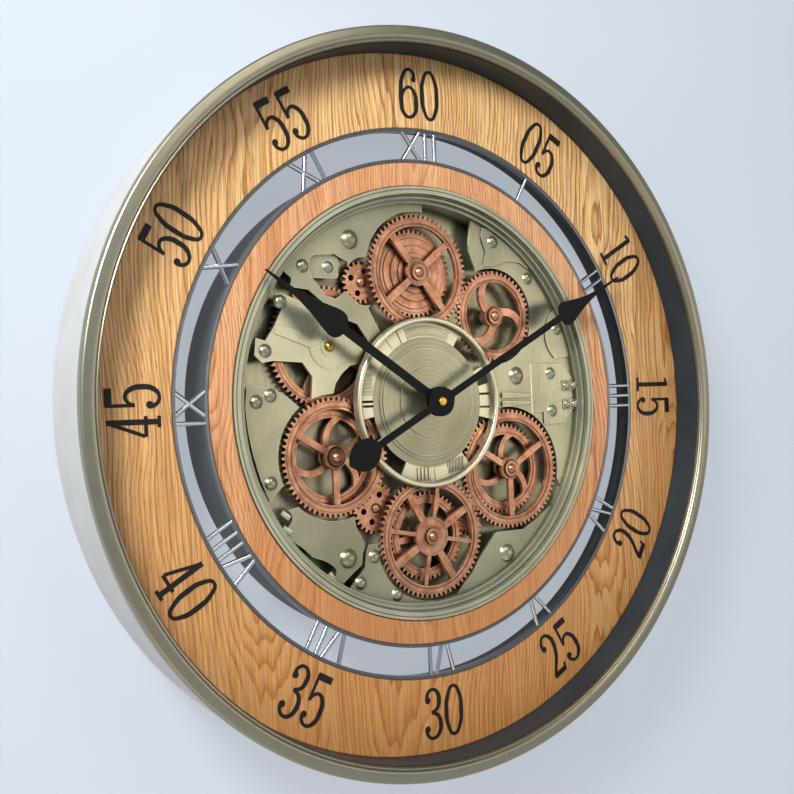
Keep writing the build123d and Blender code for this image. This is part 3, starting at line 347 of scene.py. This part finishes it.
def turn(shape, profile, at=(0, 0), steps=32):
    """Adds a turned form about the depth axis from (radius, depth) points."""
    verts = [shape.verts.new((at[0] + r, at[1], z)) for r, z in profile]
    lines = [shape.edges.new(pair) for pair in zip(verts, verts[1:])]
    bmesh.ops.spin(shape, geom=verts + lines, cent=(*at, 0), axis=(0, 0, 1), angle=2 * pi, steps=steps,
                   use_merge=True)


def dome(shape, at, radius, seat, rise):
    """Adds a domed rivet head with a small flat edge."""
    profile = [(0.0, seat + rise)]
    for k in range(1, 7):
        turnover = radians(15 * k)
        profile.append((radius * sin(turnover), seat + 0.15 * rise + 0.85 * rise * cos(turnover)))
    turn(shape, profile + [(radius, seat), (0.0, seat)], at)


def bar(shape, at, size, seat, height, turned=0.0):
    """Adds a straight bar with a bevelled front, its length along y before it is turned to a bearing."""
    place = Matrix.Translation((*at, seat + height / 2)) @ Matrix.Rotation(-radians(turned), 4, "Z")
    made = bmesh.ops.create_cube(shape, size=1.0, matrix=place @ Matrix.Diagonal((*size, height, 1)))["verts"]
    top = [e for v in made for e in v.link_edges if all(w.co.z > seat + 0.9 * height for w in e.verts)]
    bmesh.ops.bevel(shape, geom=list(set(top)), offset=0.3 * min(size[0], height), offset_type="OFFSET",
                    segments=2, profile=0.5, affect="EDGES", material=-1)


def sector(shape, inner, outer, start, end, seat, height):
    """Adds a raised block between two radii and two bearings."""
    corners = ((inner, seat), (outer, seat), (outer, seat + height), (inner, seat + height))
    place = Matrix.Rotation(-radians(start), 4, "Z")
    face = shape.faces.new([shape.verts.new(place @ Vector((0, r, z))) for r, z in corners])
    bmesh.ops.spin(shape, geom=[face, *face.edges, *face.verts], cent=(0, 0, 0), axis=(0, 0, 1),
                   angle=-radians(end - start), steps=max(2, round((end - start) / 2.5)))


# Minute numbers: condensed figures drawn as strokes in a box one wide and one high, with balls at some ends.
# A stroke is straight, smooth, or smooth and closed (round), with (x, y, weight) points.
OVAL = [(0.5, 1, .72), (0.91, 0.80, .95), (1, 0.5, 1.1), (0.91, 0.20, .95), (0.5, 0, .72), (0.09, 0.20, .95),
        (0, 0.5, 1.1), (0.09, 0.80, .95)]
FIGURES = {
    "0": ([("round", OVAL)], []),
    "1": ([("straight", [(0.55, 0, 1.1), (0.55, 1, 1.1)]),
           ("straight", [(0.57, 0.975, .8), (0.16, 0.925, .7)]),
           ("straight", [(0.12, 0.02, .8), (0.98, 0.02, .8)])], []),
    "2": ([("smooth", [(0.12, 0.74, 1), (0.13, 0.88, .8), (0.5, 1, .72), (0.88, 0.87, 1), (0.93, 0.68, 1.1),
                       (0.72, 0.42, 1), (0.32, 0.19, .9), (0.06, 0.03, .8)]),
           ("straight", [(0.0, 0.035, 1.25), (0.98, 0.035, 1.25)]),
           ("straight", [(0.93, 0.02, .6), (1.0, 0.16, .6)])], [(0.17, 0.735, 1.5)]),
    "3": ([("smooth", [(0.12, 0.80, 1), (0.16, 0.92, .8), (0.5, 1, .72), (0.86, 0.90, 1), (0.92, 0.76, 1.1),
                       (0.80, 0.60, .9), (0.42, 0.525, .7)]),
           ("smooth", [(0.42, 0.525, .7), (0.84, 0.45, .9), (1, 0.26, 1.1), (0.86, 0.08, 1), (0.48, 0, .72),
                       (0.12, 0.08, .8), (0.05, 0.2, 1)])], [(0.18, 0.785, 1.5), (0.12, 0.20, 1.5)]),
    "4": ([("straight", [(0.72, 0, 1.1), (0.72, 1, 1.1)]),
           ("straight", [(0.72, 0.985, .75), (0.03, 0.29, .75)]),
           ("straight", [(0.0, 0.27, .8), (1.0, 0.27, .8)]),
           ("straight", [(0.44, 0.02, .8), (1.0, 0.02, .8)])], []),
    "5": ([("straight", [(0.06, 0.955, 1.5), (0.95, 0.955, 1.5)]),
           ("straight", [(0.11, 1, .7), (0.11, 0.46, .7)]),
           ("smooth", [(0.11, 0.47, .7), (0.26, 0.59, .75), (0.56, 0.64, .8), (0.88, 0.54, 1), (1, 0.33, 1.1),
                       (0.88, 0.1, 1), (0.5, 0, .72), (0.14, 0.07, .8), (0.05, 0.19, 1)])],
          [(0.13, 0.185, 1.5)]),
    "6": ([("smooth", [(0.91, 0.82, 1), (0.84, 0.94, .8), (0.52, 1, .72), (0.14, 0.84, .95), (0.0, 0.5, 1.1),
                       (0.0, 0.3, 1.1), (0.12, 0.09, .95), (0.5, 0, .72), (0.89, 0.1, .95), (1, 0.31, 1.1),
                       (0.89, 0.53, .95), (0.55, 0.63, .72), (0.2, 0.54, .75), (0.03, 0.38, .8)])],
          [(0.87, 0.80, 1.3)]),
}
FIGURE_WIDTH, FIGURE_HEIGHT, FIGURE_PITCH = 14.5, 39.0, 20.5
FIGURE_STROKE, INK_RISE = 3.5, 0.35
NUMBER_RADIUS = 250.5
OUTWARD = (45, 50, 55, 60, 5, 10, 15)   # numbers whose tops point away from the spindle


def brush():
    """Flat section that the strokes are swept with."""
    curve = bpy.data.curves.new("brush", "CURVE")
    curve.dimensions = "2D"
    line = curve.splines.new("POLY")
    line.points.add(3)
    half = FIGURE_STROKE / 2
    for point, (x, y) in zip(line.points, ((-half, 0), (half, 0), (half, INK_RISE), (-half, INK_RISE))):
        point.co = (x, y, 0, 1)
    line.use_cyclic_u = True
    return bpy.data.objects.new("brush", curve)


def figure(digit, section):
    """Shape of one figure, its box's lower left corner at the origin."""
    curve = bpy.data.curves.new("figure", "CURVE")
    curve.dimensions = "2D"
    curve.fill_mode = "NONE"
    curve.resolution_u = 6
    curve.bevel_mode = "OBJECT"
    curve.bevel_object = section
    curve.use_fill_caps = True
    strokes, balls = FIGURES[digit]
    for kind, points in strokes:
        straight = kind == "straight"
        line = curve.splines.new("POLY" if straight else "BEZIER")
        ends = line.points if straight else line.bezier_points
        ends.add(len(points) - 1)
        for end, (x, y, weight) in zip(ends, points):
            place = (x * FIGURE_WIDTH, y * FIGURE_HEIGHT, 0)
            end.co = (*place, 1) if straight else place
            end.radius = weight
            if not straight:
                end.handle_left_type = end.handle_right_type = "AUTO"
        line.use_cyclic_u = kind == "round"
    holder = bpy.data.objects.new("figure", curve)
    bpy.context.scene.collection.objects.link(holder)
    bpy.context.view_layer.update()
    mesh = bpy.data.meshes.new_from_object(holder.evaluated_get(bpy.context.evaluated_depsgraph_get()))
    bpy.data.objects.remove(holder)
    shape = bmesh.new()
    shape.from_mesh(mesh)
    for x, y, weight in balls:
        radius = weight * FIGURE_STROKE / 2
        profile = [(0, INK_RISE), (radius, INK_RISE), (radius, 0), (0, 0)]
        turn(shape, profile, (x * FIGURE_WIDTH, y * FIGURE_HEIGHT), 20)
    return shape


def minute_numbers():
    """Numbers printed on the outer dial, every five minutes."""
    section = brush()
    bpy.context.scene.collection.objects.link(section)
    face = front("outer_dial_ring")
    for minute in range(5, 61, 5):
        pair = bmesh.new()
        for k, digit in enumerate("%02d" % minute):
            shape = figure(digit, section)
            shift = (k - 0.5) * FIGURE_PITCH - FIGURE_WIDTH / 2
            shape.transform(Matrix.Translation((shift, -FIGURE_HEIGHT / 2, 0)))
            mesh = bpy.data.meshes.new("figure")
            shape.to_mesh(mesh)
            shape.free()
            pair.from_mesh(mesh)
        upside = 0 if minute in OUTWARD else 180
        place = Matrix.Translation((*polar(NUMBER_RADIUS, 6 * minute), face))
        pair.transform(place @ Matrix.Rotation(-radians(6 * minute + upside), 4, "Z"))
        piece("minute_number_%02d" % minute, pair, number_finish)
    bpy.data.objects.remove(section)


TRACK_DROP = 5.5     # track of the sub-dial below its rim


def sub_dial_track():
    """Hatched fields, blocks and combs on the sub-dial's outer track."""
    track = front("sub_dial") - TRACK_DROP
    hatch = bmesh.new()
    sector(hatch, 53.5, 63.5, -19, 23, track, 0.45)
    for k in range(40):
        bearing = -18 + k * 1.03
        bar(hatch, polar(58.5, bearing), (0.5, 8.6), track + 0.45, 0.35, bearing)
    piece("sub_dial_hatch_top", hatch, turned_finish)
    blocks = bmesh.new()
    for start, end, inner, height in ((300, 311, 55, 0.5), (312, 322, 53, 0.8), (323, 333, 55, 0.5),
                                      (334, 340, 53, 0.8), (163, 176, 54, 0.5)):
        sector(blocks, inner, 64, start, end, track, height)
    piece("sub_dial_blocks", blocks, turned_finish)
    combs = bmesh.new()
    for k in range(6):
        bar(combs, (-58.0, 8.0 + 3.0 * k), (10.5, 1.3), track, 1.0)
    for k in range(4):
        bar(combs, (-12.5 + 3.6 * k, -58.2), (1.5, 10.5), track, 1.0)
    piece("sub_dial_combs", combs, turned_finish)
    low = bmesh.new()
    for k in range(11):
        bar(low, (17.5 + 1.55 * k, -54.5 + 0.42 * k), (0.7, 10.0), track, 0.8)
    piece("sub_dial_hatch_low", low, turned_finish)


BEZEL_INNER = 283.35
BEZEL_WALL = 1.65
BEZEL_ROUND = 2.2    # radius of the outer edge
BEZEL_FALL = 0.6     # from the crown to where the outer edge starts
BEAD = ((0, -2.4), (0.2, -1.8), (0.7, -1.3), (1.3, -1.15), (1.8, -1.35))
GROOVE = ((2.05, -1.6), (2.35, -1.2), (2.9, -0.6), (3.7, -0.15))
CROWN = ((4.6, 0), (6.2, -0.08), (7.8, -0.25), (9.2, -0.45))


def bezel():
    """Spun bezel with a fine bead and a groove at its inner edge, a falling face and a rounded outer edge.
    Bead, groove and crown are measured from the inner edge and down from the front."""
    inner, outer = BEZEL_INNER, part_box("front_bezel")[1].x / MM
    low, high, seat = back("front_bezel"), front("front_bezel"), front("liner")
    skirt = outer - BEZEL_WALL
    round_at = outer - BEZEL_ROUND, high - BEZEL_FALL - BEZEL_ROUND
    edge = [(round_at[0] + BEZEL_ROUND * sin(radians(a)), round_at[1] + BEZEL_ROUND * cos(radians(a)))
            for a in range(0, 91, 10)]
    face = [(inner + out, high + rise) for out, rise in BEAD + GROOVE + CROWN]
    inside = [(outer, low), (skirt, low), (skirt, seat), (inner, seat)]
    shape = bmesh.new()
    turn(shape, [(inner, seat), *face, *edge, *inside], steps=360)
    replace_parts(piece("spun_bezel", shape, bezel_finish), "front_bezel")


ROMAN = ("XII", "I", "II", "III", "IV", "V", "VI", "VII", "VIII", "IX", "X", "XI")
# Width of a letter along the ring, then where each of its strokes meets the inner and the outer chapter ring
LETTERS = {"I": (9.0, ((0, 0),)),
           "V": (19.4, ((-2.5, -8.5), (2.5, 8.5))),
           "X": (19.4, ((-8.5, 8.5), (8.5, -8.5)))}
CHAPTER_GAP = 22.3
ROD = 1.8            # radius
ROD_IN_RING = 0.5    # how far a rod's end is let into a ring


def numeral_rods():
    """Roman numerals of bright round rod, its ends let into the two chapter rings."""
    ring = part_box("inner_chapter_ring")[1].x / MM
    radii = ring - ROD_IN_RING, ring + CHAPTER_GAP + ROD_IN_RING
    depth = front("roman_numerals") - ROD
    shape = bmesh.new()
    for hour, text in enumerate(ROMAN):
        at = -sum(LETTERS[letter][0] for letter in text) / 2
        for letter in text:
            width, strokes = LETTERS[letter]
            for stroke in strokes:
                offsets = [at + width / 2 + x for x in stroke]
                low, high = (Vector((x, (r ** 2 - x ** 2) ** 0.5, depth)) for x, r in zip(offsets, radii))
                place = Matrix.Rotation(-radians(30 * hour), 4, "Z") @ Matrix.Translation((low + high) / 2)
                place = place @ (high - low).to_track_quat("Z", "Y").to_matrix().to_4x4()
                bmesh.ops.create_cone(shape, cap_ends=True, segments=16, radius1=ROD, radius2=ROD,
                                      depth=(high - low).length, matrix=place)
            at += width
    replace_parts(piece("numeral_rods", shape, chrome_finish), "roman_numerals")


HUB_RADIUS = 12.0
BAR_FOOT = 13        # a bar runs down to here and meets the hub
MINUTE_ROOT, HOUR_ROOT = 146, 102      # where the spades start
MINUTE_BAR, HOUR_BAR = 2.8, 3.5        # half widths of the bars
# Right half of the hub, of each spade above its root, and of what is below the hub
HUB = [polar(HUB_RADIUS, a) for a in range(30, 166, 15)]
MINUTE_SPADE = ((0.6, 79), (1.7, 47), (2.9, 38), (4.7, 29), (7.2, 20), (9.6, 12.5), (10.6, 8.5), (10.4, 6),
                (9.3, 3.7), (7.0, 1.6))
HOUR_SPADE = ((0.6, 79), (1.9, 54), (3.3, 43), (5.2, 33), (7.8, 23), (10.1, 15), (11.0, 10), (10.8, 6.5),
              (9.6, 3.8), (7.4, 1.6))
MINUTE_TAIL = [(MINUTE_BAR, -BAR_FOOT), (MINUTE_BAR, -68), (5.5, -69.5), (9.8, -74), (12.2, -80.5),
               (12.3, -86), (10.2, -91), (5.8, -95.5), (0.7, -99)]
HOUR_TAIL = [(0.01, -HUB_RADIUS)]
MINUTE_BEARING, HOUR_BEARING = 61.9, 304.0
MINUTE_BORE = 1.65


def hand(node, body, bearing, bore, spade, root, bar_half, tail):
    """Hand cut from sheet, from its right half: spade, bar, hub and tail, turned to its bearing at rest."""
    low, high = back(node), front(node)
    half = [(x, root + y) for x, y in spade] + [(bar_half, root), (bar_half, BAR_FOOT)] + HUB + tail
    loop = half + [(-x, y) for x, y in reversed(half)]
    hole = [polar(bore, 15 * k) for k in range(24)]
    shape = bmesh.new()
    lines = []
    for outline in (loop, hole):
        corners = [shape.verts.new((x, y, low)) for x, y in outline]
        lines += [shape.edges.new(pair) for pair in zip(corners, corners[1:] + corners[:1])]
    cut = bmesh.ops.triangle_fill(shape, edges=lines, use_beauty=True)["geom"]
    cut = [face for face in cut if isinstance(face, bmesh.types.BMFace)]
    raised = bmesh.ops.extrude_face_region(shape, geom=cut, use_keep_orig=True)["geom"]
    raised = [vert for vert in raised if isinstance(vert, bmesh.types.BMVert)]
    bmesh.ops.translate(shape, verts=raised, vec=(0, 0, high - low))
    turned = Matrix.Rotation(-radians(bearing), 3, "Z")
    bmesh.ops.rotate(shape, verts=shape.verts, cent=(0, 0, 0), matrix=turned)
    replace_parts(piece(node + "_cut", shape, black_finish, body), node)


def hands():
    """Both hands, the minute hand with a weighted tail."""
    hour_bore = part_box("hour_pipe")[1].x / MM
    hand("minute_hand", "minute", MINUTE_BEARING, MINUTE_BORE, MINUTE_SPADE, MINUTE_ROOT, MINUTE_BAR,
         MINUTE_TAIL)
    hand("hour_hand", "hour", HOUR_BEARING, hour_bore, HOUR_SPADE, HOUR_ROOT, HOUR_BAR, HOUR_TAIL)


WHEEL_HUBS = {"bottom": 16.0, "right": 9.5, "left": 9.5, "top": 11.0, "upper_right": 9.5}
HUB_BOSS = 2.0       # hub in front of the rim
TOOTH_DEPTH = 3.4
RIB_RISE = 0.5


def wheel_ribs():
    """Raised rings on the front wheels: two on the rim with a groove between them, and one round the hub."""
    for body, hub in WHEEL_HUBS.items():
        low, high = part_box(body + "_wheel")
        at = (low.x + high.x) / 2 / MM, (low.z + high.z) / 2 / MM
        root = (high.x - low.x) / 2 / MM - TOOTH_DEPTH
        face = front(body + "_wheel") - HUB_BOSS
        top, shoulder = face + RIB_RISE, face + 0.7 * RIB_RISE
        shape = bmesh.new()
        for outer, width in ((root - 0.9, 1.3), (root - 4.9, 1.4), (hub - 0.4, 1.2)):
            inner = outer - width
            turn(shape, [(inner, face), (inner, shoulder), (inner + 0.3, top), (outer - 0.3, top),
                         (outer, shoulder), (outer, face), (inner, face)], at, 96)
        piece(body + "_wheel_ribs", shape, copper_finish, body)


PAD_AT, PAD_SIZE, PAD_HEIGHT = ((157.0, 10.5), (157.0, -6.0)), (18.5, 9.0), 0.7
RIVET_SPREAD, RIVET_RADIUS, RIVET_RISE = 4.5, 3.4, 2.0
TABS = ((-130.5, -82.0, 128), (-129.5, -93.5, 126), (-92.5, -133.0, 152))   # x, y and bearing
TAB_SIZE, TAB_HEIGHT, TAB_SUNK = (4.2, 8.5), 1.6, 1.0
LUG, LUG_SEAT = (-84.3, 108.15), 2.0        # place on the plate, and its height above the plate's back
WASHER = ((4.4, 0), (4.4, 0.5), (5.9, 0.5), (6.2, 0), (4.4, 0))


def plate_fittings():
    """Riveted pads, small tabs and a washer that sit on the movement's plates."""
    pads, rivets, tabs, washer = (bmesh.new() for _ in range(4))
    seat = front("step_plate")
    for x, y in PAD_AT:
        bar(pads, (x, y), PAD_SIZE, seat, PAD_HEIGHT)
        for side in (-RIVET_SPREAD, RIVET_SPREAD):
            dome(rivets, (x + side, y), RIVET_RADIUS, seat + PAD_HEIGHT, RIVET_RISE)
    piece("rivet_pads", pads, plates_finish)
    piece("pad_rivets", rivets, plates_finish)
    seat = front("lower_left_plate") - TAB_SUNK
    for x, y, bearing in TABS:
        bar(tabs, (x, y), TAB_SIZE, seat, TAB_HEIGHT, bearing)
    piece("edge_tabs", tabs, bridge_finish)
    seat = back("upper_left_plate") + LUG_SEAT
    turn(washer, [(radius, seat + rise) for radius, rise in WASHER], LUG)
    piece("lug_washer", washer, bridge_finish)


COVER_SCREW_RADIUS = 184.0
SCREW_HEAD = ((0, -1.6), (2.2, -1.6), (3.2, -1.0), (3.4, 0), (0, 0))
SCREW_LINE, SCREW_LINE_AT = (0.8, 4.0), -1.75


def back_fasteners():
    """Six screws of the back cover, each with a thin raised line across its head."""
    cover = back("back_cover")
    shape = bmesh.new()
    for k in range(6):
        at = polar(COVER_SCREW_RADIUS, 30 + 60 * k)
        turn(shape, [(radius, cover + rise) for radius, rise in SCREW_HEAD], at, 20)
        bar(shape, at, SCREW_LINE, cover + SCREW_LINE_AT, 0.2, 30)
    piece("cover_screws", shape, zinc_finish)


bezel()
numeral_rods()
hands()
wheel_ribs()
minute_numbers()
sub_dial_track()
plate_fittings()
back_fasteners()


# Stage: a pale wall right behind the clock and a pale floor below it, a window at the upper left,
# a ceiling light, a broad light from the room, a warm bounce from below, a fill from behind for the rear
# panel, and a room that is bright at eye level

def sheet(name, size, place, colour, glow):
    """Plain staged plane that is only seen from its front, with a share of steady brightness for the eye."""
    made, tree, shader, where = finish(name, Roughness=0.9)
    tone = coat(tree, linear(colour), "#dfe5ee", streaks(tree, where, 500.0, 500.0), 0.0, 1.0)
    tree.links.new(tone, shader.inputs["Base Color"])
    steady = add(tree, "Emission", {0: tone, 1: 0.9})
    seen = 0.0
    for ray in ("Is Camera Ray", "Is Glossy Ray", "Is Transmission Ray"):
        seen = add(tree, "Math", {0: seen, 1: add(tree, "LightPath", {}, ray)}, operation="MAXIMUM")
    seen = add(tree, "Math", {0: seen, 1: glow}, operation="MULTIPLY")
    side = add(tree, "NewGeometry", {}, "Backfacing")
    clear = add(tree, "BsdfTransparent", {})
    lit = add(tree, "MixShader", {0: seen, 1: shader.outputs[0], 2: steady})
    shown = add(tree, "MixShader", {0: side, 1: lit, 2: clear})
    tree.links.new(shown, tree.nodes["Material Output"].inputs["Surface"])
    shape = bmesh.new()
    bmesh.ops.create_grid(shape, x_segments=2, y_segments=2, size=size, matrix=place)
    mesh = bpy.data.meshes.new(name)
    shape.to_mesh(mesh)
    shape.free()
    mesh.materials.append(made)
    stood = bpy.data.objects.new(name, mesh)
    bpy.context.scene.collection.objects.link(stood)
    return stood


WALL_GAP = 0.0006
FLOOR_DROP = 1.1
wall_place = Matrix.Translation((0, WALL_GAP, 0)) @ Matrix.Rotation(radians(90), 4, "X")
wall = sheet("wall", 2.6, wall_place, "#ccd4e0", 0.66)
wall.visible_shadow = False
wall.visible_diffuse = False
sheet("floor", 6.0, Matrix.Translation((0, 0, -FLOOR_DROP)), "#dfe3e8", 0.5)


def lamp(name, place, size, power, colour):
    """Soft rectangular lamp aimed at the spindle."""
    data = bpy.data.lights.new(name, "AREA")
    data.shape, data.size, data.size_y = "RECTANGLE", *size
    data.energy, data.color = power, linear(colour)[:3]
    made = bpy.data.objects.new(name, data)
    bpy.context.scene.collection.objects.link(made)
    aim = -Vector(place)
    made.matrix_world = Matrix.Translation(place) @ aim.to_track_quat("-Z", "Y").to_matrix().to_4x4()


lamp("window_light", (-1.05, -0.88, 0.82), (0.45, 0.45), 34.0, "#f6f9ff")
lamp("ceiling_light", (0.1, -1.5, 1.3), (0.9, 0.5), 8.0, "#fffaf0")
lamp("room_light", (2.2, -3.0, 0.15), (3.2, 0.9), 14.5, "#fff4e4")
lamp("warm_bounce", (-0.5, -0.9, -1.0), (0.9, 0.6), 2.0, "#ffcf8c")
lamp("rear_fill", (0.6, 1.8, 0.8), (1.6, 1.6), 16.0, "#ffffff")
world = bpy.data.worlds.new("room")
bpy.context.scene.world = world
world.use_nodes = True
room = world.node_tree
level = add(room, "SeparateXYZ", {0: add(room, "TexCoord", {}, "Generated")}, "Z")
light = coat(room, linear("#6c7278"), "#dfe5ee", level, -0.32, 0.0)
light = coat(room, light, "#8f979f", level, 0.15, 0.5)
room.links.new(light, room.nodes["Background"].inputs["Color"])
room.nodes["Background"].inputs["Strength"].default_value = 0.58

# Camera at the photograph's place: below the middle and to the left of the clock
CAMERA_AT = (-0.52299, -0.80869, -0.00761)
CAMERA_RIGHT = (0.839316, -0.542196, -0.039652)
CAMERA_UP = (0.025809, -0.033116, 0.999118)
CAMERA_BACK = (-0.543031, -0.839599, -0.013802)
lens = bpy.data.cameras.new("camera")
lens.sensor_width, lens.lens = 36.0, 51.43
lens.clip_start, lens.clip_end = 0.01, 50.0
camera = bpy.data.objects.new("camera", lens)
bpy.context.scene.collection.objects.link(camera)
camera.matrix_world = Matrix.Translation(CAMERA_AT) @ Matrix(
    (CAMERA_RIGHT, CAMERA_UP, CAMERA_BACK)).transposed().to_4x4()
bpy.context.scene.camera = camera

bpy.context.scene.view_settings.view_transform = "Standard"
